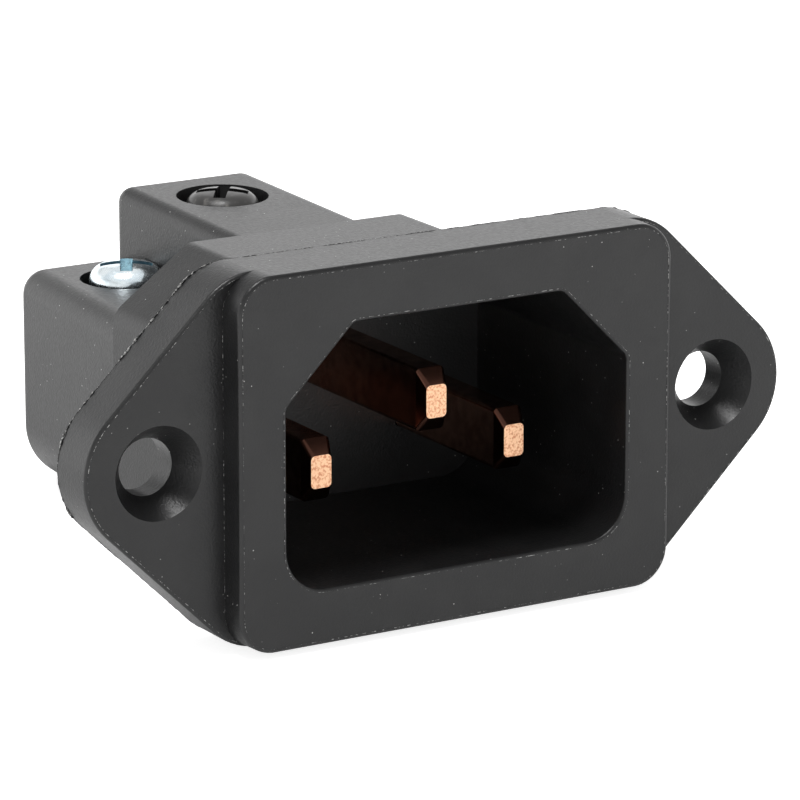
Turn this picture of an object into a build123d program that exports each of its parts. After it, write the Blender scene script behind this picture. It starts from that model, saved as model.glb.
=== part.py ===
from build123d import *
import math
import os

# Panel inlet for a mains lead, with three flat copper pins in a shaped cavity and a screw terminal
# behind each pin. The origin is midway between the two fixing holes, on the flange's rear face,
# which lies against the panel. The mating face looks along -Y, the terminals stand behind at +Y,
# and +Z is up, with the earth pin above the other two. All sizes are in millimetres. The shapes are
# drawn about the flange's middle, which lies a little lower, and are moved there at the end.

# Flange with two ears
fixing_spacing = 40.0
fixing_hole_radius = 1.8
countersink_radius = 2.95
countersink_depth = 1.75
ear_radius = 5.0
ear_rise = 0.15
flank_angle = 44.3
flange_height = 23.5
shoulder_radius = 4.4
flange_thickness = 3.5
flange_edge_radius = 0.2

# Collar round the mouth, proud of the flange
collar_width = 30.9
collar_side_draft = 0.15
collar_projection = 1.75
collar_corner_radius = 2.4
collar_edge_radius = 0.25

# Cavity that the connector goes into
cavity_width = 24.45
cavity_height = 16.45
cavity_chamfer = 4.77
cavity_corner_radius = 2.75
cavity_vertex_radius = 0.8
cavity_depth = 17.6
cavity_edge_radius = 0.2

# Moulded body behind the panel
side_wall = 1.18
top_wall = 0.875
bottom_wall = 1.475
body_top_width = 15.8
body_slope_angle = 35.6
rear_wall = 2.4
body_corner_radius = 1.0
lower_corner_radius = 4.0

# Terminal towers behind the body
tower_length = 15.45
front_side_draft = 0.05
rear_side_draft = 1.15
earth_tower_width = 10.1
earth_tower_rise = 0.36
terminal_outset = 0.2
side_tower_roof = 2.97
tower_edge_radius = 1.0
shoulder_edge_radius = 1.6
tower_step = 0.04
screw_inset = 5.75
screw_well_diameter = 6.1
side_well_drop = 0.33
bite_clearance = 0.12
pin_wall = 2.85
chamber_mouth_chamfer = 0.35
inner_wall = 1.2
notch_edge_radius = 0.6

# Copper pins
pin_width = 2.0
pin_height = 4.0
pin_spacing = 14.0
earth_pin_rise = 4.0
side_pin_z = -2.4
side_tip_depth = 4.9
earth_tip_depth = 2.8
tip_length = 0.8
tip_side_bevel = 0.28
tip_face_bevel = 0.95
pin_edge_radius = 0.3
pin_fit = 0.03
shoulder_length = 1.6
shoulder_width = 4.6
tongue_thickness = 1.2

# Folded clamp box round each pin's tongue
clamp_width = 5.6
clamp_length = 5.1
clamp_wall = 0.8
clamp_roof = 1.4
clamp_inner_height = 4.6
clamp_bend_radius = 0.6
clamp_fit = 0.1

# Pressure plate under each screw
plate_side_fit = 0.15
plate_length = 4.5
plate_thickness = 1.0
plate_corner_radius = 0.4
wire_gap = 2.3

# Terminal screws, cross recessed pan heads
thread_diameter = 3.0
thread_fit = 0.06
shank_length = 3.77
pilot_diameter = 1.8
pilot_length = 0.8
pilot_fit = 0.05
head_diameter = 4.9
head_height = 1.9
head_crown = 0.38
head_edge_radius = 1.15
drive_width = 2.7
drive_slot = 0.75
drive_depth = 1.1
drive_taper = 12.0

# Places worked out from the sizes above
mouth_y = -(flange_thickness + collar_projection)
cavity_floor_y = mouth_y + cavity_depth
body_rear_y = cavity_floor_y + rear_wall
chamber_front_y = cavity_floor_y + pin_wall
rear_y = body_rear_y + tower_length
screw_y = rear_y - screw_inset
body_half_width = cavity_width / 2 + side_wall
body_top_z = cavity_height / 2 + top_wall
body_bottom_z = -(cavity_height / 2 + bottom_wall)
earth_tower_top_z = body_top_z + earth_tower_rise
earth_pin_z = side_pin_z + earth_pin_rise
side_terminal_x = pin_spacing / 2 + terminal_outset
chamber_width = clamp_width + 2 * clamp_fit
clamp_height = clamp_wall + clamp_inner_height + clamp_roof
clamp_inner_width = clamp_width - 2 * clamp_wall
tongue_width = clamp_inner_width - 2 * clamp_fit
tongue_rear_y = screw_y + clamp_length / 2
cut_margin = 1.0


def tongue_bottom(pin_z):
    return pin_z - pin_height / 2


def clamp_bottom(pin_z):
    return tongue_bottom(pin_z) - clamp_wall


def clamp_top(pin_z):
    return clamp_bottom(pin_z) + clamp_height


def plate_bottom(pin_z):
    return tongue_bottom(pin_z) + tongue_thickness + wire_gap


def head_top(pin_z):
    return plate_bottom(pin_z) + plate_thickness + shank_length + head_height


side_tower_top_z = clamp_top(side_pin_z) + clamp_fit + side_tower_roof


def block(x_low, x_high, y_low, y_high, z_low, z_high):
    size = (x_high - x_low, y_high - y_low, z_high - z_low)
    centre = ((x_low + x_high) / 2, (y_low + y_high) / 2, (z_low + z_high) / 2)
    return Pos(*centre) * Box(*size)


def along_y(profile, y_low, y_high):
    """Extrude a profile drawn in X and Z between two depths."""
    face = Plane((0, y_low, 0), x_dir=(1, 0, 0), z_dir=(0, -1, 0)) * profile
    return extrude(face, amount=y_high - y_low, dir=(0, 1, 0))


def flange_outline():
    flank = math.radians(flank_angle)
    apex_x = fixing_spacing / 2 + ear_radius / math.sin(flank)
    top = flange_height / 2
    upper_x = apex_x - (top - ear_rise) / math.tan(flank)
    lower_x = apex_x - (top + ear_rise) / math.tan(flank)
    outline = Polygon(
        (upper_x, top),
        (apex_x, ear_rise),
        (lower_x, -top),
        (-lower_x, -top),
        (-apex_x, ear_rise),
        (-upper_x, top),
        align=None,
    )
    tips = outline.vertices().sort_by(Axis.X)
    rounded = fillet([tips[0], tips[-1]], ear_radius)
    shoulders = [v for v in rounded.vertices() if abs(abs(v.Y) - top) < 0.001]
    return fillet(shoulders, shoulder_radius)


def flange():
    plate = along_y(flange_outline(), -flange_thickness, 0)
    front = plate.faces().sort_by(Axis.Y)[0]
    return fillet(front.edges(), flange_edge_radius)


def collar():
    """Rounded frame whose sides lean in towards the mouth."""
    base = RectangleRounded(collar_width + 2 * collar_side_draft, flange_height, collar_corner_radius)
    mouth = RectangleRounded(collar_width, flange_height, collar_corner_radius)
    sections = [
        Plane((0, -flange_thickness / 2, 0), x_dir=(1, 0, 0), z_dir=(0, -1, 0)) * base,
        Plane((0, -flange_thickness, 0), x_dir=(1, 0, 0), z_dir=(0, -1, 0)) * base,
        Plane((0, mouth_y, 0), x_dir=(1, 0, 0), z_dir=(0, -1, 0)) * mouth,
    ]
    root = extrude(sections[0], amount=flange_thickness / 2, dir=(0, -1, 0))
    frame = root + loft([sections[1], sections[2]], ruled=True)
    front = frame.faces().sort_by(Axis.Y)[0]
    return fillet(front.edges(), collar_edge_radius)


def cavity_outline():
    half = cavity_width / 2
    top = cavity_height / 2
    outline = Polygon(
        (half, -top),
        (half, top - cavity_chamfer),
        (half - cavity_chamfer, top),
        (-half + cavity_chamfer, top),
        (-half, top - cavity_chamfer),
        (-half, -top),
        align=None,
    )
    low = outline.vertices().group_by(Axis.Y)[0]
    outline = fillet(low, cavity_corner_radius)
    high = [v for v in outline.vertices() if v.Y > top - cavity_chamfer - 0.001]
    return fillet(high, cavity_vertex_radius)


def drafted_sides(step):
    """Plan of the body and towers, which narrow towards the rear, drawn in by a step."""
    front = body_half_width - step
    middle = front - front_side_draft
    rear = middle - rear_side_draft
    right = [(front, 0), (middle, body_rear_y), (rear, rear_y)]
    left = [(-x, y) for x, y in reversed(right)]
    plan = Polygon(*right, *left, align=None)
    height = 2 * (body_top_z - body_bottom_z)
    return Pos(0, 0, -height / 2) * extrude(plan, amount=height)


def long_edges(solid, test):
    """Edges that run mostly along Y and pass the test on their centre."""
    found = []
    for edge in solid.edges():
        box = edge.bounding_box()
        if box.size.Y > 2 * max(box.size.X, box.size.Z) and test(edge.center()):
            found.append(edge)
    return found


def body_core():
    """Shell round the cavity, its upper corners sloped over the cavity's."""
    shoulder_x = body_top_width / 2
    slope = math.tan(math.radians(body_slope_angle))
    shoulder_z = body_top_z - (body_half_width - shoulder_x) * slope
    outline = Polygon(
        (body_half_width, body_bottom_z),
        (body_half_width, shoulder_z),
        (shoulder_x, body_top_z),
        (-shoulder_x, body_top_z),
        (-body_half_width, shoulder_z),
        (-body_half_width, body_bottom_z),
        align=None,
    )
    core = along_y(outline, 0, body_rear_y) & drafted_sides(0)
    inner_x = (shoulder_x + body_half_width) / 2
    core = fillet(long_edges(core, lambda c: c.Z > 0 and abs(c.X) < inner_x), body_corner_radius)
    core = fillet(long_edges(core, lambda c: c.Z > 0 and abs(c.X) > inner_x), shoulder_edge_radius)
    return fillet(long_edges(core, lambda c: c.Z < 0), lower_corner_radius)


def terminal_block():
    """Two side towers in one block, with the earth tower rising from the middle.

    The block stands on the body's rear face, a fine mould step inside its sides and floor. The
    earth tower's top carries on from the body's and rises a little to the rear.
    """
    bottom = body_bottom_z + tower_step
    low = block(-body_half_width, body_half_width, body_rear_y, rear_y, bottom, side_tower_top_z)
    low = low & drafted_sides(tower_step)
    low = fillet(long_edges(low, lambda c: c.Z < 0), lower_corner_radius - tower_step)
    low = fillet(long_edges(low, lambda c: c.Z > 0), shoulder_edge_radius)
    low = fillet(low.faces().sort_by(Axis.Y)[-1].edges(), tower_edge_radius)
    half = earth_tower_width / 2
    foot = bottom + lower_corner_radius
    side = Polygon(
        (body_rear_y, foot),
        (rear_y, foot),
        (rear_y, earth_tower_top_z),
        (body_rear_y, body_top_z),
        align=None,
    )
    high = extrude(Plane.YZ.offset(-half) * side, amount=2 * half)
    high = fillet(long_edges(high, lambda c: c.Z > 0), tower_edge_radius)
    high = fillet(high.faces().sort_by(Axis.Y)[-1].edges(), tower_edge_radius)
    return low + high


def pillar(x, radius, low, high):
    """Upright cylinder on a terminal screw's line."""
    return Pos(x, screw_y, (low + high) / 2) * Cylinder(radius, high - low)


def chamber(terminal_x, pin_z, tower_top_z):
    """Space for one clamp box, open at the rear for the wire, with its screw well above.

    Above a side tower's top the well goes on as a narrow bite in the earth tower's wall, round the
    screw's head.
    """
    low = clamp_bottom(pin_z)
    high = clamp_top(pin_z) + clamp_fit
    half = chamber_width / 2
    space = block(terminal_x - half, terminal_x + half, chamber_front_y, rear_y + cut_margin, low, high)
    mouth = Plane((terminal_x, rear_y, (low + high) / 2), x_dir=(1, 0, 0), z_dir=(0, -1, 0))
    wide = Rectangle(chamber_width + 2 * chamber_mouth_chamfer, high - low + 2 * chamber_mouth_chamfer)
    narrow = Rectangle(chamber_width, high - low)
    flare = loft([mouth * wide, mouth.offset(chamber_mouth_chamfer) * narrow], ruled=True)
    well = pillar(terminal_x, screw_well_diameter / 2, high, tower_top_z + tower_step)
    bite_top = head_top(pin_z) - side_well_drop
    if bite_top > tower_top_z:
        well += pillar(terminal_x, head_diameter / 2 + bite_clearance, high, bite_top)
    return space + flare + well


def pin_slot(pin_x, pin_z):
    section = RectangleRounded(pin_width + 2 * pin_fit, pin_height + 2 * pin_fit, pin_edge_radius + pin_fit)
    return along_y(Pos(pin_x, pin_z) * section, cavity_floor_y - cut_margin, chamber_front_y + cut_margin)


def fixing_hole(hole_x):
    front = -flange_thickness
    turn = Rot(-90, 0, 0)
    bore = Pos(hole_x, front / 2, ear_rise) * turn * Cylinder(fixing_hole_radius, flange_thickness + 2 * cut_margin)
    cone = Pos(hole_x, front + countersink_depth / 2, ear_rise) * turn * Cone(
        countersink_radius, fixing_hole_radius, countersink_depth
    )
    return bore + cone


def tower_notch():
    """Gap between the two side towers, under the earth chamber."""
    half = side_terminal_x - chamber_width / 2 - inner_wall
    top = clamp_bottom(earth_pin_z) - inner_wall
    gap = block(
        -half, half, body_rear_y, rear_y + cut_margin, body_bottom_z - cut_margin, top
    )
    return fillet(long_edges(gap, lambda c: c.Z > body_bottom_z), notch_edge_radius)


def housing():
    """The one moulding that holds everything."""
    shape = flange() + collar() + body_core() + terminal_block()
    cavity = along_y(cavity_outline(), mouth_y - cut_margin, cavity_floor_y)
    shape = shape - cavity - tower_notch()
    mouth_face = shape.faces().filter_by(Axis.Y).sort_by(Axis.Y)[0]
    inner_edges = mouth_face.inner_wires()[0].edges()
    shape = fillet(inner_edges, cavity_edge_radius)
    for hole_x in (-fixing_spacing / 2, fixing_spacing / 2):
        shape = shape - fixing_hole(hole_x)
    for pole, (pin_x, pin_z) in pin_places.items():
        tower_top_z = earth_tower_top_z if pole == "earth" else side_tower_top_z
        shape = shape - chamber(terminal_places[pole], pin_z, tower_top_z) - pin_slot(pin_x, pin_z)
    return shape


def pin(pin_x, terminal_x, pin_z, tip_y):
    """Flat blade with a bevelled tip, a shoulder against the wall and a coined tongue."""
    blade_front = tip_y + tip_length
    section = RectangleRounded(pin_width, pin_height, pin_edge_radius)
    nose = RectangleRounded(pin_width - 2 * tip_side_bevel, pin_height - 2 * tip_face_bevel, pin_edge_radius)
    at_front = Plane((pin_x, blade_front, pin_z), x_dir=(1, 0, 0), z_dir=(0, -1, 0))
    blade = extrude(at_front * section, amount=chamber_front_y - blade_front, dir=(0, 1, 0))
    tip = loft([at_front * section, at_front.offset(tip_length) * nose], ruled=True)
    low = tongue_bottom(pin_z)
    shoulder_rear = chamber_front_y + shoulder_length
    shoulder = block(
        terminal_x - shoulder_width / 2,
        terminal_x + shoulder_width / 2,
        chamber_front_y,
        shoulder_rear,
        low,
        low + pin_height,
    )
    tongue = block(
        terminal_x - tongue_width / 2,
        terminal_x + tongue_width / 2,
        shoulder_rear,
        tongue_rear_y,
        low,
        low + tongue_thickness,
    )
    return blade + tip + shoulder + tongue


def clamp_box(terminal_x, pin_z):
    """Folded strip that closes round the tongue, its roof tapped for the screw."""
    low = clamp_bottom(pin_z)
    outside = RectangleRounded(clamp_width, clamp_height, clamp_bend_radius)
    inside = Pos(0, (clamp_wall - clamp_roof) / 2) * Rectangle(clamp_inner_width, clamp_inner_height)
    at_front = Plane(
        (terminal_x, screw_y - clamp_length / 2, low + clamp_height / 2),
        x_dir=(1, 0, 0),
        z_dir=(0, -1, 0),
    )
    strip = extrude(at_front * (outside - inside), amount=clamp_length, dir=(0, 1, 0))
    roof_z = low + clamp_height - clamp_roof / 2
    tapping = Pos(terminal_x, screw_y, roof_z) * Cylinder(thread_diameter / 2 + thread_fit, 2 * clamp_roof)
    return strip - tapping


def pressure_plate(terminal_x, pin_z):
    low = plate_bottom(pin_z)
    width = clamp_inner_width - 2 * plate_side_fit
    face = RectangleRounded(width, plate_length, plate_corner_radius)
    plate = Pos(terminal_x, screw_y, low) * extrude(face, amount=plate_thickness)
    eye = Pos(terminal_x, screw_y, low + plate_thickness / 2) * Cylinder(
        pilot_diameter / 2 + pilot_fit, 2 * plate_thickness
    )
    return plate - eye


def drive_recess():
    """Cross recess, its wings narrowing with depth, cut down from the height zero."""
    wings = Rectangle(drive_width, drive_slot) + Rectangle(drive_slot, drive_width)
    return extrude(wings, amount=-drive_depth, taper=drive_taper)


def screw(terminal_x, pin_z):
    """Pan head screw whose pilot turns in the pressure plate."""
    seat = plate_bottom(pin_z) + plate_thickness
    under_head = seat + shank_length
    radius = head_diameter / 2
    rim = head_height - head_crown
    profile = make_face(
        [
            Line((0, 0), (radius, 0)),
            Line((radius, 0), (radius, rim)),
            RadiusArc((radius, rim), (0, head_height), -(radius**2 + head_crown**2) / (2 * head_crown)),
            Line((0, head_height), (0, 0)),
        ]
    )
    corner = [v for v in profile.vertices() if abs(v.X - radius) < 0.001 and abs(v.Y - rim) < 0.001]
    profile = fillet(corner, head_edge_radius)
    head = Pos(0, 0, under_head) * revolve(Plane.XZ * profile, Axis.Z)
    recess = Pos(0, 0, under_head + head_height) * drive_recess()
    shank = Pos(0, 0, seat + shank_length / 2) * Cylinder(thread_diameter / 2, shank_length)
    pilot = Pos(0, 0, seat - pilot_length / 2) * Cylinder(pilot_diameter / 2, pilot_length)
    return Pos(terminal_x, screw_y, 0) * (head - recess + shank + pilot)


pin_places = {
    "line": (-pin_spacing / 2, side_pin_z),
    "neutral": (pin_spacing / 2, side_pin_z),
    "earth": (0.0, earth_pin_z),
}
terminal_places = {"line": -side_terminal_x, "neutral": side_terminal_x, "earth": 0.0}
tip_depths = {"line": side_tip_depth, "neutral": side_tip_depth, "earth": earth_tip_depth}


def build():
    nodes = {"housing": housing()}
    for pole, (pin_x, pin_z) in pin_places.items():
        terminal_x = terminal_places[pole]
        nodes[f"{pole}_pin"] = pin(pin_x, terminal_x, pin_z, mouth_y + tip_depths[pole])
        nodes[f"{pole}_clamp_box"] = clamp_box(terminal_x, pin_z)
        nodes[f"{pole}_pressure_plate"] = pressure_plate(terminal_x, pin_z)
        nodes[f"{pole}_screw"] = screw(terminal_x, pin_z)
    return {name: Pos(0, 0, -ear_rise) * solid for name, solid in nodes.items()}


os.makedirs("parts", exist_ok=True)
for name, solid in build().items():
    export_step(solid, f"parts/{name}.step")
    print(name, round(solid.volume, 2))
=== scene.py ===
"""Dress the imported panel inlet: black moulding, copper blades, plated clamps and terminal screws.

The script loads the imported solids, gives each its finish, puts detailed screws in place of the plain ones,
and sets up the camera, the white table and the soft light of the photograph.
"""

import logging
import math
import random
from dataclasses import dataclass
from enum import Enum

import bmesh
import bpy
from mathutils import Matrix, Vector

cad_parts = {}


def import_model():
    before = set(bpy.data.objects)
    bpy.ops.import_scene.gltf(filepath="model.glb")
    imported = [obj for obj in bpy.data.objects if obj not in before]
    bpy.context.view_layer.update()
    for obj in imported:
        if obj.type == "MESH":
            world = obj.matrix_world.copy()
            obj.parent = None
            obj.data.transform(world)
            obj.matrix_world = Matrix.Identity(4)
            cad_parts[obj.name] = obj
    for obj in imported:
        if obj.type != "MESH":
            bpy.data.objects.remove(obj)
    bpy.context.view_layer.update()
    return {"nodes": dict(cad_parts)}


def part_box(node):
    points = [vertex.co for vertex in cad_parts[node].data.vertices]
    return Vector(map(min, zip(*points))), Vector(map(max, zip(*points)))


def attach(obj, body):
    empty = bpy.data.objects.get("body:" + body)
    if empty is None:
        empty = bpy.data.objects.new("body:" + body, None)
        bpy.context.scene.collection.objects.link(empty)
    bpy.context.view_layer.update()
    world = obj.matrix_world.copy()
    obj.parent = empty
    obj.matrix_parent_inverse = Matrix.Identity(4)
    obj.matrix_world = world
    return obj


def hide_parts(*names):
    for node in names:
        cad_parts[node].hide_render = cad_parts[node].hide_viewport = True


LOG = logging.getLogger("panel_inlet")
MM = 0.001
COLLAR_PROJECTION = 1.75
INWARD = Vector((0.0, 1.0, 0.0))
Span = tuple[float, float]
Triple = tuple[float, float, float]
Colour = Triple
Socket = bpy.types.NodeSocket
Value = Socket | Colour | float


class Pole(Enum):
    """The three poles, named as their nodes and bodies are."""

    LINE = "line"
    NEUTRAL = "neutral"
    EARTH = "earth"

    @property
    def screw_body(self) -> str:
        """Name of the body that the screw rides on."""
        return f"{self.value}_driver"


class NodeBoard:
    """A material's or world's node tree, with short calls to add and join nodes.

    mix_floats, mix_colours and mixed_colour are the numbers of the Mix node's sockets of those kinds.
    """

    cloud_edge: Span = (0.35, 0.7)
    smoother: float = 0.05
    rougher: float = 0.1
    mix_floats: tuple[int, int] = (2, 3)
    mix_colours: tuple[int, int] = (6, 7)
    mixed_colour: int = 2

    def __init__(self, tree: bpy.types.NodeTree) -> None:
        """Empty the tree and keep it.

        Args:
            tree: Node tree of a material or of the world.
        """
        self.tree = tree
        tree.nodes.clear()

    def add(self, kind: str, **settings: object) -> bpy.types.Node:
        """Add a node.

        Args:
            kind: Blender's name of the node type.
            settings: Properties of the node.

        Returns:
            The new node.
        """
        node = self.tree.nodes.new(kind)
        for key, value in settings.items():
            setattr(node, key, value)
        return node

    def join(self, source: Socket, node: bpy.types.Node, socket: str | int) -> None:
        """Link an output to a node's input."""
        self.tree.links.new(source, node.inputs[socket])

    def feed(self, node: bpy.types.Node, socket: str | int, value: Value) -> None:
        """Link a socket to an input, or write a plain value there.

        Args:
            node: Node that receives the value.
            socket: Name or number of its input.
            value: An output socket, a number or a colour.
        """
        if isinstance(value, Socket):
            self.join(value, node, socket)
        else:
            node.inputs[socket].default_value = value

    def place(self) -> Socket:
        """Return the object's own coordinates, in metres."""
        return self.add("ShaderNodeTexCoord").outputs["Object"]

    def stretched(self, source: Socket, scale: Triple) -> Socket:
        """Scale a coordinate along each axis.

        Args:
            source: Coordinate to scale.
            scale: Factor along X, Y and Z.

        Returns:
            The scaled coordinate.
        """
        mapping = self.add("ShaderNodeMapping")
        self.join(source, mapping, "Vector")
        mapping.inputs["Scale"].default_value = scale
        return mapping.outputs["Vector"]

    def noise(self, source: Socket, scale: float, detail: float = 2.0) -> Socket:
        """Return a cloud pattern from 0 to 1.

        Args:
            source: Coordinate that the pattern follows.
            scale: Features per metre.
            detail: Octaves of finer pattern.

        Returns:
            The pattern's value.
        """
        node = self.add("ShaderNodeTexNoise")
        self.join(source, node, "Vector")
        node.inputs["Scale"].default_value = scale
        node.inputs["Detail"].default_value = detail
        return node.outputs["Fac"]

    def maths(self, operation: str, first: Value, second: Value = 0.0) -> Socket:
        """Return the result of a sum on one or two values.

        Args:
            operation: Name of the operation, as Blender's Math node has it.
            first: First value or socket.
            second: Second value or socket.

        Returns:
            The result.
        """
        node = self.add("ShaderNodeMath", operation=operation)
        self.feed(node, 0, first)
        self.feed(node, 1, second)
        return node.outputs[0]

    def span(self, source: Socket, start: float, end: float, low: float, high: float) -> Socket:
        """Map a value smoothly from one range to another, held at the ends.

        Args:
            source: Value to map.
            start: Value that gives low.
            end: Value that gives high.
            low: Result at start.
            high: Result at end.

        Returns:
            The mapped value.
        """
        node = self.add("ShaderNodeMapRange", interpolation_type="SMOOTHSTEP")
        self.join(source, node, "Value")
        for socket, value in (("From Min", start), ("From Max", end), ("To Min", low), ("To Max", high)):
            node.inputs[socket].default_value = value
        return node.outputs["Result"]

    def clouds(self, source: Socket, scale: float, detail: float) -> Socket:
        """Return soft clouds that reach 0 and 1.

        Args:
            source: Coordinate that the clouds follow.
            scale: Features per metre.
            detail: Octaves of finer pattern.

        Returns:
            The clouds' value.
        """
        return self.span(self.noise(source, scale, detail), *self.cloud_edge, 0.0, 1.0)

    def uneven(self, pattern: Socket, edge: Span, roughness: float) -> Socket:
        """Let a pattern make a metal a little smoother and rougher.

        Args:
            pattern: Value of the pattern.
            edge: Values of the pattern where the metal is smoothest and roughest.
            roughness: The metal's usual roughness.

        Returns:
            The roughness.
        """
        return self.span(pattern, *edge, roughness - self.smoother, roughness + self.rougher)

    def mixed(self, factor: Value, first: Value, second: Value) -> Socket:
        """Mix two colours.

        Args:
            factor: 0 gives the first colour and 1 the second.
            first: First colour or socket.
            second: Second colour or socket.

        Returns:
            The mixed colour.
        """
        node = self.add("ShaderNodeMix", data_type="RGBA")
        self.feed(node, "Factor", factor)
        for socket, value in zip(self.mix_colours, (first, second)):
            self.feed(node, socket, (*value, 1.0) if isinstance(value, tuple) else value)
        return node.outputs[self.mixed_colour]

    def bumped(self, height: Socket, depth: float, base: Socket | None = None) -> Socket:
        """Return a normal raised by a height pattern.

        Args:
            height: Pattern from 0 to 1.
            depth: Height of the pattern in metres.
            base: Normal that this one builds on, or None.

        Returns:
            The bumped normal.
        """
        node = self.add("ShaderNodeBump")
        node.inputs["Distance"].default_value = depth
        self.join(height, node, "Height")
        if base is not None:
            self.join(base, node, "Normal")
        return node.outputs["Normal"]


def start_finish(name: str) -> tuple[bpy.types.Material, NodeBoard, bpy.types.Node]:
    """Make a material that holds a principled shader and its output.

    Args:
        name: Name of the material.

    Returns:
        The material, its board and its shader.
    """
    material = bpy.data.materials.new(name)
    material.use_nodes = True
    board = NodeBoard(material.node_tree)
    shader = board.add("ShaderNodeBsdfPrincipled")
    board.join(shader.outputs["BSDF"], board.add("ShaderNodeOutputMaterial"), "Surface")
    return material, board, shader


@dataclass(frozen=True)
class MouldedPlastic:
    """Black engineering plastic with a fine spark-eroded grain, paler clouds and a little dust."""

    name: str = "black_moulding"
    colour: Colour = (0.0105, 0.0105, 0.0110)
    pale: Colour = (0.0155, 0.0155, 0.0158)
    dust: Colour = (0.62, 0.62, 0.60)
    clouds_per_metre: float = 260.0
    roughness: Span = (0.34, 0.40)
    dust_roughness: float = 0.3
    gloss_per_metre: float = 3900.0
    gloss_edge: Span = (0.3, 0.7)
    grain_per_metre: float = 6500.0
    grain_height: float = 0.000019
    specks_per_metre: float = 1900.0
    speck_radius: Span = (0.055, 0.09)
    speck_share: Span = (0.15, 0.9)
    faintest_speck: float = 0.15
    crowds_per_metre: float = 170.0
    crowd_edge: Span = (0.42, 0.68)

    def build(self) -> bpy.types.Material:
        """Make the material.

        Returns:
            A material with grain, mottling and dust specks.
        """
        material, board, shader = start_finish(self.name)
        place = board.place()
        tone = board.mixed(board.clouds(place, self.clouds_per_metre, detail=3.0), self.colour, self.pale)
        speck = self.specks(board, place)
        board.join(board.mixed(speck, tone, self.dust), shader, "Base Color")
        fine = board.noise(place, self.gloss_per_metre, detail=3.0)
        gloss = board.span(fine, *self.gloss_edge, *self.roughness)
        dusty = board.maths("MULTIPLY", speck, self.dust_roughness)
        board.join(board.maths("ADD", gloss, dusty), shader, "Roughness")
        grain = board.noise(place, self.grain_per_metre)
        board.join(board.bumped(grain, self.grain_height), shader, "Normal")
        return material

    def specks(self, board: NodeBoard, place: Socket) -> Socket:
        """Scatter dust specks, one in some of the cells and more where they crowd.

        Args:
            board: Node tree being built.
            place: Object coordinates.

        Returns:
            Up to 1 on a speck and 0 elsewhere.
        """
        cell = board.add("ShaderNodeTexVoronoi", feature="F1")
        board.join(place, cell, "Vector")
        cell.inputs["Scale"].default_value = self.specks_per_metre
        split = board.add("ShaderNodeSeparateColor")
        board.join(cell.outputs["Color"], split, "Color")
        near = board.span(cell.outputs["Distance"], *self.speck_radius, 1.0, 0.0)
        crowd = board.span(board.noise(place, self.crowds_per_metre), *self.crowd_edge, *self.speck_share)
        chosen = board.maths("LESS_THAN", split.outputs["Red"], crowd)
        strength = board.span(split.outputs["Green"], 0.0, 1.0, self.faintest_speck, 1.0)
        return board.maths("MULTIPLY", board.maths("MULTIPLY", near, chosen), strength)


@dataclass(frozen=True)
class FrayedPlastic:
    """Thin flash of the same plastic, with pale dashes that are partly scuffs and partly painted glints."""

    name: str = "mould_flash"
    dark: Colour = (0.006, 0.006, 0.006)
    scuffed_and_glint: Colour = (0.42, 0.42, 0.41)
    dashes_per_metre: float = 4800.0
    dash_edge: Span = (0.50, 0.62)
    roughness: Span = (0.4, 0.6)

    def build(self) -> bpy.types.Material:
        """Make the material.

        Returns:
            A rough material with pale dashes.
        """
        material, board, shader = start_finish(self.name)
        dash = board.span(board.noise(board.place(), self.dashes_per_metre), *self.dash_edge, 0.0, 1.0)
        # pale dashes: scuffed flash and painted glints along the thread
        board.join(board.mixed(dash, self.dark, self.scuffed_and_glint), shader, "Base Color")
        board.join(board.span(dash, 0.0, 1.0, *self.roughness), shader, "Roughness")
        return material


@dataclass(frozen=True)
class BareCopper:
    """Cold drawn copper: smooth tarnished sides with fine draw lines, and brighter grained ends.

    How far a face looks along Y tells its kind: the flanks hardly, the bevels somewhat and the ends fully.
    The bevels get a dark copper colour that is painted shade.
    """

    name: str = "copper"
    bright: Colour = (0.94, 0.59, 0.37)
    tarnish: Colour = (0.60, 0.24, 0.13)
    flank: Colour = (0.66, 0.37, 0.27)
    flank_dark: Colour = (0.46, 0.23, 0.16)
    bevel_shade: Colour = (0.19, 0.085, 0.06)
    roughness: Span = (0.17, 0.30)
    bevel_tilt: Span = (0.15, 0.3)
    end_tilt: Span = (0.9, 0.97)
    clouds_per_metre: float = 1400.0
    grit_per_metre: float = 6500.0
    grit_edge: Span = (0.42, 0.66)
    grit_share: float = 0.9
    grit_height: float = 0.00003
    lines_per_metre: Triple = (9000.0, 300.0, 9000.0)
    line_height: float = 0.000001

    def build(self) -> bpy.types.Material:
        """Make the material.

        Returns:
            A metallic material with tarnish, mottling and draw lines.
        """
        material, board, shader = start_finish(self.name)
        shader.inputs["Metallic"].default_value = 1.0
        place = board.place()
        split = board.add("ShaderNodeSeparateXYZ")
        board.join(board.add("ShaderNodeNewGeometry").outputs["True Normal"], split, "Vector")
        tilt = board.maths("ABSOLUTE", split.outputs["Y"])
        end = board.span(tilt, *self.end_tilt, 0.0, 1.0)
        cloud = board.clouds(place, self.clouds_per_metre, detail=4.0)
        grit = board.noise(place, self.grit_per_metre, detail=4.0)
        lines = board.noise(board.stretched(place, self.lines_per_metre), 1.0)
        drawn = board.mixed(cloud, self.flank, self.flank_dark)
        # the bevels are coloured dark copper: painted shade, not a finish of their own
        side = board.mixed(board.span(tilt, *self.bevel_tilt, 0.0, 1.0), drawn, self.bevel_shade)
        tip = board.mixed(board.span(grit, *self.grit_edge, 0.0, self.grit_share), self.bright, self.tarnish)
        board.join(board.mixed(end, side, tip), shader, "Base Color")
        board.join(board.span(end, 0.0, 1.0, *self.roughness), shader, "Roughness")
        lined = board.bumped(lines, self.line_height)
        pitted = board.bumped(board.maths("MULTIPLY", grit, end), self.grit_height, lined)
        board.join(pitted, shader, "Normal")
        return material


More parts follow.
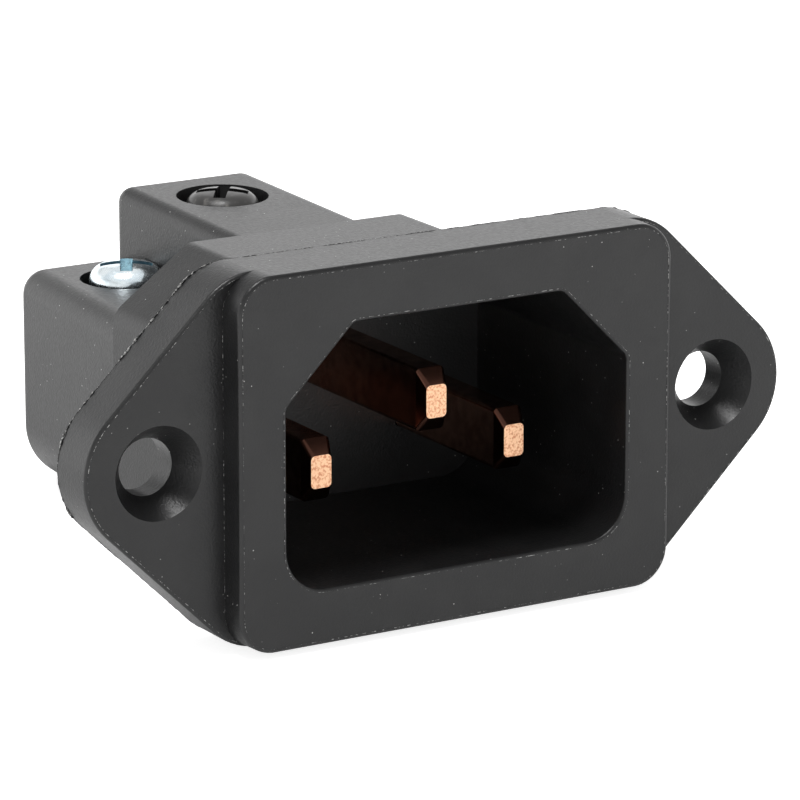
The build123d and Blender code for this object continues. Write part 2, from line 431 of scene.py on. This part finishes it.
@dataclass(frozen=True)
class PlatedSteel:
    """Zinc plated steel with a pale blue cast, for strip or for turned screws."""

    name: str
    bright: Colour
    dull: Colour
    roughness: float
    clouds_per_metre: float = 900.0
    crystals_per_metre: float = 3800.0
    crystal_edge: Span = (0.3, 0.75)
    crystal_height: float = 0.000004
    swells_per_metre: float = 1500.0
    swell_height: float = 0.000012

    def build(self) -> bpy.types.Material:
        """Make the material.

        Returns:
            A metallic material with clouded plating and a fine crystal ripple.
        """
        material, board, shader = start_finish(self.name)
        shader.inputs["Metallic"].default_value = 1.0
        place = board.place()
        tone = board.mixed(board.clouds(place, self.clouds_per_metre, detail=4.0), self.bright, self.dull)
        board.join(tone, shader, "Base Color")
        fine = board.noise(place, self.crystals_per_metre, detail=3.0)
        board.join(board.uneven(fine, self.crystal_edge, self.roughness), shader, "Roughness")
        broad = board.bumped(board.noise(place, self.swells_per_metre), self.swell_height)
        board.join(board.bumped(fine, self.crystal_height, broad), shader, "Normal")
        return material


@dataclass(frozen=True)
class BlackenedSteel:
    """Oil blackened steel, rubbed paler where a driver has touched it."""

    name: str = "black_screw"
    black: Colour = (0.020, 0.019, 0.018)
    rubbed: Colour = (0.20, 0.19, 0.18)
    roughness: float = 0.33
    shine: float = 0.5
    clouds_per_metre: float = 1800.0
    cloud_edge: Span = (0.3, 0.7)
    rub_edge: Span = (0.55, 0.8)
    rub_share: float = 0.5
    bare_share: float = 0.9
    pits_per_metre: float = 4200.0
    pit_height: float = 0.000006

    def build(self) -> bpy.types.Material:
        """Make the material.

        Returns:
            A dark coated material with rubbed clouds.
        """
        material, board, shader = start_finish(self.name)
        shader.inputs["Specular IOR Level"].default_value = self.shine
        place = board.place()
        cloud = board.noise(place, self.clouds_per_metre, detail=4.0)
        rub = board.span(cloud, *self.rub_edge, 0.0, self.rub_share)
        board.join(board.mixed(rub, self.black, self.rubbed), shader, "Base Color")
        board.join(board.maths("MULTIPLY", rub, self.bare_share), shader, "Metallic")
        board.join(board.uneven(cloud, self.cloud_edge, self.roughness), shader, "Roughness")
        pits = board.noise(place, self.pits_per_metre, detail=3.0)
        board.join(board.bumped(pits, self.pit_height), shader, "Normal")
        return material


def put_in_scene(name: str, data: bpy.types.ID) -> bpy.types.Object:
    """Make an object of a mesh, lamp or camera and link it to the scene.

    Args:
        name: Name of the object.
        data: What it shows.

    Returns:
        The linked object.
    """
    item = bpy.data.objects.new(name, data)
    bpy.context.scene.collection.objects.link(item)
    return item


def new_piece(
    name: str, shape: bmesh.types.BMesh, material: bpy.types.Material, smooth: float
) -> bpy.types.Object:
    """Turn a bmesh into an object at the origin.

    Args:
        name: Name of the object.
        shape: The finished bmesh, which is freed.
        material: Finish of the whole piece.
        smooth: Edges sharper than this angle in degrees stay crisp.

    Returns:
        The linked object.
    """
    bmesh.ops.recalc_face_normals(shape, faces=shape.faces)
    for edge in shape.edges:
        sharp = len(edge.link_faces) != 2 or edge.calc_face_angle(0.0) > math.radians(smooth)
        edge.smooth = not sharp
    for face in shape.faces:
        face.smooth = True
    data = bpy.data.meshes.new(name)
    shape.to_mesh(data)
    shape.free()
    data.materials.append(material)
    return put_in_scene(name, data)


def absorb(whole: bmesh.types.BMesh, part: bmesh.types.BMesh) -> None:
    """Copy one bmesh into another.

    Args:
        whole: Bmesh that receives the other.
        part: Bmesh to copy, which is freed.
    """
    data = bpy.data.meshes.new("part")
    part.to_mesh(data)
    part.free()
    whole.from_mesh(data)
    bpy.data.meshes.remove(data)


def dress(nodes: dict[str, bpy.types.Object], name: str, material: bpy.types.Material) -> None:
    """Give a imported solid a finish.

    Args:
        nodes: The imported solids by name.
        name: Solid to dress.
        material: Its finish.
    """
    slots = nodes[name].data.materials
    slots.clear()
    slots.append(material)
    LOG.info("dressed %s in %s", name, material.name)


@dataclass
class TerminalScrew:
    """Cross recessed pan head screw with a rolled thread and a plain pilot. Sizes are in millimetres.

    foot_share and cap_share give the recess cutter's length and width at its two ends, as parts of the
    wings' own. A turn is in degrees.
    """

    pole: Pole
    material: bpy.types.Material
    shaded: bpy.types.Material
    turn: float
    head_radius: float = 2.45
    head_height: float = 1.9
    crown: float = 0.38
    edge_radius: float = 1.15
    under_edge: float = 0.12
    head_overlap: float = 0.05
    thread_radius: float = 1.48
    thread_start: float = 0.12
    thread_stop: float = 0.1
    core_radius: float = 1.22
    ridge_root: float = 0.05
    pitch: float = 0.5
    ridge_share: float = 0.44
    crest_share: float = 0.07
    fade_share: float = 0.8
    pilot_radius: float = 0.9
    pilot_length: float = 0.8
    pilot_chamfer: float = 0.12
    seat_gap: float = 0.01
    wing_length: float = 4.0
    wing_width: float = 0.86
    wing_depth: float = 1.3
    foot_share: Span = (0.5, 0.7)
    cap_share: Span = (1.34, 1.25)
    turning_steps: int = 72
    under_steps: int = 3
    edge_steps: int = 12
    dome_steps: int = 8
    thread_steps: int = 36
    turned_merge: float = 0.0005
    carved_merge: float = 0.001
    smooth_angle: float = 35.0

    def arc(self, centre: Vector, radius: float, start: float, end: float, count: int) -> list[Vector]:
        """Return points of an arc in the XZ plane.

        Args:
            centre: Middle of the arc.
            radius: Its radius.
            start: First angle in degrees from +X.
            end: Last angle in degrees.
            count: Number of steps.

        Returns:
            The points from start to end.
        """
        angles = [math.radians(start + (end - start) * i / count) for i in range(count + 1)]
        return [centre + Vector((math.cos(a), 0.0, math.sin(a))) * radius for a in angles]

    def revolve(self, profile: list[Vector]) -> bmesh.types.BMesh:
        """Spin an open profile, whose ends lie on the axis, into a closed shape.

        Args:
            profile: Points in the XZ plane, in millimetres.

        Returns:
            The closed shape.
        """
        shape = bmesh.new()
        points = [shape.verts.new(point) for point in profile]
        lines = [shape.edges.new(pair) for pair in zip(points, points[1:])]
        bmesh.ops.spin(
            shape,
            geom=points + lines,
            cent=(0.0, 0.0, 0.0),
            axis=(0.0, 0.0, 1.0),
            angle=math.tau,
            steps=self.turning_steps,
            use_merge=True,
        )
        bmesh.ops.remove_doubles(shape, verts=shape.verts, dist=self.turned_merge)
        return shape

    def head(self, top: float) -> bmesh.types.BMesh:
        """Revolve the pan head.

        Args:
            top: Height of the crown's middle above the pilot's end.

        Returns:
            A closed head.
        """
        under = top - self.head_height
        dome = (self.head_radius**2 + self.crown**2) / (2.0 * self.crown)
        across = self.head_radius - self.edge_radius
        rise = math.sqrt((dome - self.edge_radius) ** 2 - across**2)
        meet = math.degrees(math.atan2(rise, across))
        edge = self.under_edge
        flat = self.head_radius - edge
        under_centre = Vector((flat, 0.0, under + edge))
        edge_centre = Vector((across, 0.0, top - dome + rise))
        dome_centre = Vector((0.0, 0.0, top - dome))
        profile = [Vector((0.0, 0.0, under)), Vector((flat, 0.0, under))]
        profile += self.arc(under_centre, edge, -90.0, 0.0, self.under_steps)[1:]
        profile += self.arc(edge_centre, self.edge_radius, 0.0, meet, self.edge_steps)
        profile += self.arc(dome_centre, dome, meet, 90.0, self.dome_steps)[1:]
        return self.revolve(profile)

    def shank(self, seat: float, under: float) -> bmesh.types.BMesh:
        """Revolve the pilot and the thread's core.

        Args:
            seat: Height of the shoulder that rests on the pressure plate.
            under: Height of the head's underside.

        Returns:
            A closed shank that reaches into the head.
        """
        top = under + self.head_overlap
        outline = [
            (0.0, 0.0),
            (self.pilot_radius - self.pilot_chamfer, 0.0),
            (self.pilot_radius, self.pilot_chamfer),
            (self.pilot_radius, seat),
            (self.core_radius, seat),
            (self.core_radius, top),
            (0.0, top),
        ]
        return self.revolve([Vector((x, 0.0, z)) for x, z in outline])

    def thread(self, low: float, high: float) -> bmesh.types.BMesh:
        """Sweep the thread's ridge up the core, thinning out at both ends.

        Args:
            low: Height where the thread starts.
            high: Height where it runs out.

        Returns:
            A closed helical ridge.
        """
        shape = bmesh.new()
        half = self.pitch * self.ridge_share
        crest = self.pitch * self.crest_share
        inner = self.core_radius - self.ridge_root
        section = [
            Vector((inner, 0.0, low - half)),
            Vector((self.thread_radius, 0.0, low - crest)),
            Vector((self.thread_radius, 0.0, low + crest)),
            Vector((inner, 0.0, low + half)),
        ]
        points = [shape.verts.new(point) for point in section]
        lines = [shape.edges.new(pair) for pair in zip(points, points[1:] + points[:1])]
        count = int((high - low) / self.pitch * self.thread_steps)
        made = bmesh.ops.spin(
            shape,
            geom=points + lines,
            cent=(0.0, 0.0, 0.0),
            axis=(0.0, 0.0, 1.0),
            dvec=(0.0, 0.0, self.pitch / self.thread_steps),
            angle=math.tau * count / self.thread_steps,
            steps=count,
        )
        end = [item for item in made["geom_last"] if isinstance(item, bmesh.types.BMEdge)]
        bmesh.ops.contextual_create(shape, geom=lines)
        bmesh.ops.contextual_create(shape, geom=end)
        for vert in shape.verts:
            reach = math.hypot(vert.co.x, vert.co.y)
            left = min(vert.co.z - low, high - vert.co.z) / (self.pitch * self.fade_share)
            wanted = inner + (reach - inner) * max(0.0, min(1.0, left))
            vert.co.x *= wanted / reach
            vert.co.y *= wanted / reach
        return shape

    def cross(self, share: Span, height: float) -> list[Vector]:
        """Return the outline of a cross.

        Args:
            share: Its length and width, as parts of the wings' own.
            height: Height of the outline.

        Returns:
            Twelve points in order.
        """
        length = self.wing_length / 2.0 * share[0]
        width = self.wing_width / 2.0 * share[1]
        points = []
        for turn in range(4):
            spin = Matrix.Rotation(math.radians(90.0 * turn), 3, "Z")
            for x, y in ((length, -width), (length, width), (width, width)):
                points.append(spin @ Vector((x, y, height)))
        return points

    def recess(self, top: float) -> bmesh.types.BMesh:
        """Shape the cutter of the cross recess, whose wings taper and slope in to a blunt point.

        Args:
            top: Height of the crown's middle.

        Returns:
            A closed cross with four sloping wings.
        """
        cutter = bmesh.new()
        foot = [cutter.verts.new(point) for point in self.cross(self.foot_share, top - self.wing_depth)]
        cap = [cutter.verts.new(point) for point in self.cross(self.cap_share, top + self.wing_depth)]
        cutter.faces.new(reversed(foot))
        cutter.faces.new(cap)
        for i in range(len(foot)):
            after = (i + 1) % len(foot)
            cutter.faces.new((foot[i], foot[after], cap[after], cap[i]))
        return cutter

    def carved(self, name: str, top: float) -> bmesh.types.BMesh:
        """Cut the recess into the head, with painted shade on its walls.

        Args:
            name: Name of the screw.
            top: Height of the crown's middle.

        Returns:
            The carved head.
        """
        head = new_piece(name, self.head(top), self.material, self.smooth_angle)
        cutter = new_piece("recess_cutter", self.recess(top), self.shaded, self.smooth_angle)
        cut = head.modifiers.new("recess", "BOOLEAN")
        cut.operation = "DIFFERENCE"
        cut.solver = "EXACT"
        cut.material_mode = "TRANSFER"
        cut.use_self = True
        cut.object = cutter
        graph = bpy.context.evaluated_depsgraph_get()
        result = bpy.data.meshes.new_from_object(head.evaluated_get(graph))
        whole = bmesh.new()
        whole.from_mesh(result)
        bmesh.ops.remove_doubles(whole, verts=whole.verts, dist=self.carved_merge)
        spent = [head.data, cutter.data, result]
        bpy.data.objects.remove(head)
        bpy.data.objects.remove(cutter)
        for data in spent:
            bpy.data.meshes.remove(data)
        return whole

    def build(self) -> bpy.types.Object:
        """Make the screw in its place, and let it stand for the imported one.

        Returns:
            The dressed screw.
        """
        name = f"{self.pole.value}_terminal_screw"
        low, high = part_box(f"{self.pole.value}_screw")
        foot = Vector(((low.x + high.x) / 2, (low.y + high.y) / 2, low.z))
        top = (high.z - low.z) / MM
        under = top - self.head_height
        seat = self.pilot_length + self.seat_gap
        whole = self.carved(name, top)
        absorb(whole, self.shank(seat, under))
        absorb(whole, self.thread(seat + self.thread_start, under - self.thread_stop))
        turn = Matrix.Rotation(math.radians(-self.turn), 4, "Z")
        place = Matrix.Translation(foot) @ Matrix.Scale(MM, 4) @ turn
        bmesh.ops.transform(whole, matrix=place, verts=whole.verts)
        piece = new_piece(name, whole, self.material, self.smooth_angle)
        # second slot: painted shade on the recess walls
        piece.data.materials.append(self.shaded)
        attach(piece, self.pole.screw_body)
        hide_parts(f"{self.pole.value}_screw")
        LOG.info("built %s", name)
        return piece


@dataclass
class Terminals:
    """The three poles: blades, clamp boxes, pressure plates and screws.

    zinc and black each hold the finish of a screw and the painted shade of its recess. A turn is in degrees.
    """

    copper: bpy.types.Material
    strip: bpy.types.Material
    zinc: tuple[bpy.types.Material, bpy.types.Material]
    black: tuple[bpy.types.Material, bpy.types.Material]
    side_turn: float = 28.0
    earth_turn: float = 36.0

    def build(self, nodes: dict[str, bpy.types.Object]) -> list[bpy.types.Object]:
        """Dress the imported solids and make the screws.

        Args:
            nodes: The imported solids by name.

        Returns:
            The three screws.
        """
        screws = []
        for pole in Pole:
            dress(nodes, f"{pole.value}_pin", self.copper)
            dress(nodes, f"{pole.value}_clamp_box", self.strip)
            dress(nodes, f"{pole.value}_pressure_plate", self.strip)
            if pole is Pole.EARTH:
                screw = TerminalScrew(pole, *self.black, self.earth_turn)
            else:
                screw = TerminalScrew(pole, *self.zinc, self.side_turn)
            screws.append(screw.build())
        return screws


@dataclass
class MouldFlash:
    """Ragged threads of flash that the mould leaves round the flange, the collar and the cavity's mouth.

    Sizes are in millimetres, and a thickness is a thread's mean radius.
    """

    material: bpy.types.Material
    thickness: float = 0.06
    level_thickness: float = 0.02
    foot_thickness: float = 0.015
    mouth_thickness: float = 0.012
    level_slope: float = 0.98
    low_reach: float = -3.0
    raggedness: float = 0.6
    thinnest: float = 0.15
    thickest: float = 1.9
    step: float = 0.08
    least_run: float = 10.0
    merge_distance: float = 0.0001
    depth_tolerance: float = 0.002
    flatness: float = 0.9995
    smooth_angle: float = 60.0
    ring_corners: int = 4
    seed: int = 7

    def rims(self, housing: bpy.types.Object, depth: float) -> list[list[Vector]]:
        """Find the rims of the housing's flat faces at one depth, as open or closed runs.

        Args:
            housing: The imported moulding.
            depth: Their Y in metres.

        Returns:
            Runs of points in order.
        """
        shape = bmesh.new()
        shape.from_mesh(housing.data)
        bmesh.ops.transform(shape, matrix=housing.matrix_world, verts=shape.verts)
        bmesh.ops.remove_doubles(shape, verts=shape.verts, dist=self.merge_distance * MM)
        linked: dict[int, list[int]] = {}
        shape.verts.ensure_lookup_table()
        for edge in shape.edges:
            level = all(abs(vert.co.y - depth) < self.depth_tolerance * MM for vert in edge.verts)
            flat = [face for face in edge.link_faces if abs(face.normal.y) > self.flatness]
            if level and len(flat) == 1:
                first, second = (vert.index for vert in edge.verts)
                linked.setdefault(first, []).append(second)
                linked.setdefault(second, []).append(first)
        runs = []
        while linked:
            start = next((key for key, near in linked.items() if len(near) == 1), next(iter(linked)))
            run = [start]
            while linked.get(run[-1]):
                step = linked[run[-1]].pop()
                linked[step].remove(run[-1])
                run.append(step)
            linked = {key: near for key, near in linked.items() if near}
            runs.append([shape.verts[index].co.copy() for index in run])
        shape.free()
        return runs

    def even(self, run: list[Vector]) -> list[Vector]:
        """Resample a run at even steps.

        Args:
            run: Points in order.

        Returns:
            Points about one step apart.
        """
        points = [run[0]]
        spare = 0.0
        for start, end in zip(run, run[1:]):
            length = (end - start).length
            at = self.step * MM - spare
            while at < length:
                points.append(start.lerp(end, at / length))
                at += self.step * MM
            spare = length - (at - self.step * MM)
        return points

    def thread(
        self, shape: bmesh.types.BMesh, run: list[Vector], thickness: float, chance: random.Random
    ) -> None:
        """Add one ragged thread along a run, thinner where the run is level or low.

        Args:
            shape: Mesh that receives it.
            run: Its points.
            thickness: Its mean radius in millimetres.
            chance: Source of the unevenness.
        """
        rings = []
        size = thickness
        for index, point in enumerate(run):
            ahead = run[min(index + 1, len(run) - 1)] - run[max(index - 1, 0)]
            side = ahead.cross(INWARD).normalized()
            mean = thickness
            if abs(ahead.normalized().x) > self.level_slope or point.z < self.low_reach * MM:
                mean = min(thickness, self.level_thickness)
            size += chance.uniform(-self.raggedness, self.raggedness) * mean
            size = max(mean * self.thinnest, min(mean * self.thickest, size))
            ring = []
            for corner in range(self.ring_corners):
                angle = math.tau * (corner + 0.5) / self.ring_corners
                out = side * math.cos(angle) + INWARD * math.sin(angle)
                ring.append(shape.verts.new(point + out * size * MM))
            rings.append(ring)
        for near, far in zip(rings, rings[1:]):
            for corner in range(self.ring_corners):
                after = (corner + 1) % self.ring_corners
                shape.faces.new((near[corner], near[after], far[after], far[corner]))
        shape.faces.new(rings[0])
        shape.faces.new(rings[-1])

    def build(self, housing: bpy.types.Object) -> None:
        """Make the flash and let it ride with the housing.

        Args:
            housing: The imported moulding.
        """
        chance = random.Random(self.seed)
        shape = bmesh.new()
        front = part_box("housing")[0].y
        outline = max(self.rims(housing, 0.0), key=lambda run: max(p.x for p in run) - min(p.x for p in run))
        self.thread(shape, self.even(outline), self.thickness, chance)
        for depth, thickness in ((COLLAR_PROJECTION * MM, self.foot_thickness), (0.0, self.mouth_thickness)):
            for run in self.rims(housing, front + depth):
                if max((point - run[0]).length for point in run) > self.least_run * MM:
                    self.thread(shape, self.even(run), thickness, chance)
        piece = new_piece("mould_flash", shape, self.material, self.smooth_angle)
        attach(piece, "shell")
        LOG.info("built %s", piece.name)


@dataclass
class Studio:
    """White table, white surround, lamps and the photograph's camera. Lengths are in metres."""

    eye: Triple = (-0.1563982, -0.2570179, 0.0825958)
    aim: Triple = (-0.0043135, -0.00525, 0.0027797)
    roll: float = 0.0498
    lens: float = 226.12
    sensor: float = 36.0
    clip: Span = (0.01, 20.0)
    flange_low: float = -0.0119
    tower_low: float = -0.00981
    tower_contact: float = 0.0292
    table_gap: float = 0.00004
    table_size: float = 3.0
    paper: Colour = (0.86, 0.86, 0.86)
    paper_pale: Colour = (0.88, 0.88, 0.88)
    weave_per_metre: float = 300.0
    seen_glow: float = 0.8
    # the mirrored glow is lower near the object: painted shadow
    mirrored_glow: Span = (0.2, 0.8)
    mirrored_reach: Span = (0.04, 0.14)
    side_glow: Span = (0.87, 1.7)
    side_range: Span = (-0.3, 0.5)
    overhead_glow: float = 0.33
    rise_range: Span = (0.28, 0.60)
    lamp_direction: Triple = (-0.22, -0.10, 0.97)
    lamp_distance: float = 0.5
    lamp_size: float = 0.2
    lamp_power: float = 1.7
    panel_height: float = 0.3
    panel_size: float = 0.9
    panel_power: float = 1.35

    def build(self, screws: list[bpy.types.Object]) -> None:
        """Set up the camera, table, surround and lamps.

        Args:
            screws: The screws, which mirror a panel of their own.
        """
        self.camera()
        self.table()
        self.world()
        self.lamp()
        self.panel(screws)
        bpy.context.scene.view_settings.view_transform = "Standard"

    def camera(self) -> None:
        """Make the camera that the photograph was solved for."""
        data = bpy.data.cameras.new("camera")
        data.lens = self.lens
        data.sensor_width = self.sensor
        data.clip_start, data.clip_end = self.clip
        camera = put_in_scene("camera", data)
        forward = (Vector(self.aim) - Vector(self.eye)).normalized()
        turn = forward.to_track_quat("-Z", "Y").to_matrix().to_4x4()
        roll = Matrix.Rotation(math.radians(self.roll), 4, "Z")
        camera.matrix_world = Matrix.Translation(self.eye) @ turn @ roll
        bpy.context.scene.camera = camera

    def table(self) -> None:
        """Make the white table that the flange's lower edge and the towers rest on."""
        shape = bmesh.new()
        bmesh.ops.create_grid(shape, x_segments=1, y_segments=1, size=self.table_size)
        slope = math.atan2(self.tower_low - self.flange_low, self.tower_contact)
        bmesh.ops.rotate(shape, matrix=Matrix.Rotation(slope, 3, "X"), verts=shape.verts)
        bmesh.ops.translate(shape, vec=(0.0, 0.0, self.flange_low - self.table_gap), verts=shape.verts)
        data = bpy.data.meshes.new("table")
        shape.to_mesh(data)
        shape.free()
        data.materials.append(self.table_paper())
        floor = put_in_scene("table", data)

    def table_paper(self) -> bpy.types.Material:
        """Make the table's white, which glows in the picture and in metal, and is clear from below.

        Returns:
            The paper, whose glow in metal is dimmer close to the object: a painted shadow of the object on
            the table.
        """
        material = bpy.data.materials.new("table_white")
        material.use_nodes = True
        board = NodeBoard(material.node_tree)
        place = board.place()
        diffuse = board.add("ShaderNodeBsdfDiffuse")
        weave = board.noise(place, self.weave_per_metre)
        board.join(board.mixed(weave, self.paper, self.paper_pale), diffuse, "Color")
        path = board.add("ShaderNodeLightPath")
        seen = board.maths("MULTIPLY", path.outputs["Is Camera Ray"], self.seen_glow)
        reach = board.add("ShaderNodeVectorMath", operation="LENGTH")
        board.join(place, reach, 0)
        # glow seen in metal fades close to the object: painted shadow
        painted_shadow_card = board.span(reach.outputs["Value"], *self.mirrored_reach, *self.mirrored_glow)
        mirrored = board.maths("MULTIPLY", path.outputs["Is Glossy Ray"], painted_shadow_card)
        glow = board.add("ShaderNodeEmission")
        board.join(board.maths("ADD", seen, mirrored), glow, "Strength")
        both = board.add("ShaderNodeAddShader")
        board.join(diffuse.outputs[0], both, 0)
        board.join(glow.outputs[0], both, 1)
        cover = board.add("ShaderNodeMixShader")
        board.join(board.add("ShaderNodeNewGeometry").outputs["Backfacing"], cover, 0)
        board.join(both.outputs[0], cover, 1)
        board.join(board.add("ShaderNodeBsdfTransparent").outputs[0], cover, 2)
        board.join(cover.outputs[0], board.add("ShaderNodeOutputMaterial"), "Surface")
        return material

    def world(self) -> None:
        """Light the scene from a white surround that is brighter at the back and dim overhead."""
        world = bpy.data.worlds.new("surround")
        bpy.context.scene.world = world
        world.use_nodes = True
        board = NodeBoard(world.node_tree)
        split = board.add("ShaderNodeSeparateXYZ")
        board.join(board.add("ShaderNodeTexCoord").outputs["Generated"], split, "Vector")
        side = board.span(split.outputs["Y"], *self.side_range, *self.side_glow)
        fall = board.span(split.outputs["Z"], *self.rise_range, 1.0, 0.0)
        lit = board.maths("MULTIPLY", fall, board.maths("SUBTRACT", side, self.overhead_glow))
        level = board.maths("ADD", lit, self.overhead_glow)
        path = board.add("ShaderNodeLightPath")
        strength = board.add("ShaderNodeMix", data_type="FLOAT")
        board.join(path.outputs["Is Camera Ray"], strength, "Factor")
        for socket, value in zip(board.mix_floats, (level, 1.0)):
            board.feed(strength, socket, value)
        back = board.add("ShaderNodeBackground")
        back.inputs["Color"].default_value = (1.0, 1.0, 1.0, 1.0)
        board.join(strength.outputs[0], back, "Strength")
        board.join(back.outputs[0], board.add("ShaderNodeOutputWorld"), "Surface")

    def area_light(self, name: str, outline: str, size: float, power: float) -> bpy.types.Object:
        """Make an area light that points down.

        Args:
            name: Name of the light.
            outline: Its shape, as Blender names it.
            size: Its width.
            power: Its power in watts.

        Returns:
            The light, at the origin.
        """
        data = bpy.data.lights.new(name, "AREA")
        data.shape = outline
        data.size = size
        data.energy = power
        return put_in_scene(name, data)

    def lamp(self) -> None:
        """Hang a soft lamp up at the left."""
        lamp = self.area_light("lamp", "DISK", self.lamp_size, self.lamp_power)
        away = Vector(self.lamp_direction).normalized()
        turn = away.to_track_quat("Z", "Y").to_matrix().to_4x4()
        lamp.matrix_world = Matrix.Translation(away * self.lamp_distance) @ turn

    def panel(self, screws: list[bpy.types.Object]) -> None:
        """Hang a broad panel overhead that lights the screws alone.

        Args:
            screws: The screws that it lights.
        """
        panel = self.area_light("panel", "SQUARE", self.panel_size, self.panel_power)
        panel.location = (0.0, 0.0, self.panel_height)
        group = bpy.data.collections.new("screws")
        for screw in screws:
            group.objects.link(screw)
        panel.light_linking.receiver_collection = group
        panel.light_linking.blocker_collection = group


def main() -> None:
    """Build every piece in order."""
    logging.basicConfig(level=logging.INFO, format="%(name)s: %(message)s")
    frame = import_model()
    nodes = frame["nodes"]
    dress(nodes, "housing", MouldedPlastic().build())
    MouldFlash(FrayedPlastic().build()).build(nodes["housing"])
    strip = PlatedSteel("plated_strip", bright=(0.66, 0.67, 0.68), dull=(0.50, 0.51, 0.53), roughness=0.34)
    zinc_head = PlatedSteel("zinc_screw", bright=(0.88, 0.95, 0.98), dull=(0.70, 0.80, 0.86), roughness=0.20)
    # dark teal for the zinc screw's recess walls: painted shade and painted reflection
    zinc_recess_shade = PlatedSteel(
        "zinc_recess_shade", bright=(0.20, 0.34, 0.40), dull=(0.12, 0.22, 0.28), roughness=0.3
    )
    # near black for the black screw's recess walls: painted shade
    black_recess_shade = BlackenedSteel(
        "black_recess_shade", black=(0.004, 0.004, 0.004), rubbed=(0.012, 0.012, 0.012), roughness=0.5, shine=0.06
    )
    zinc = (zinc_head.build(), zinc_recess_shade.build())
    black = (BlackenedSteel().build(), black_recess_shade.build())
    screws = Terminals(BareCopper().build(), strip.build(), zinc, black).build(nodes)
    Studio().build(screws)


if __name__ == "__main__":
    main()
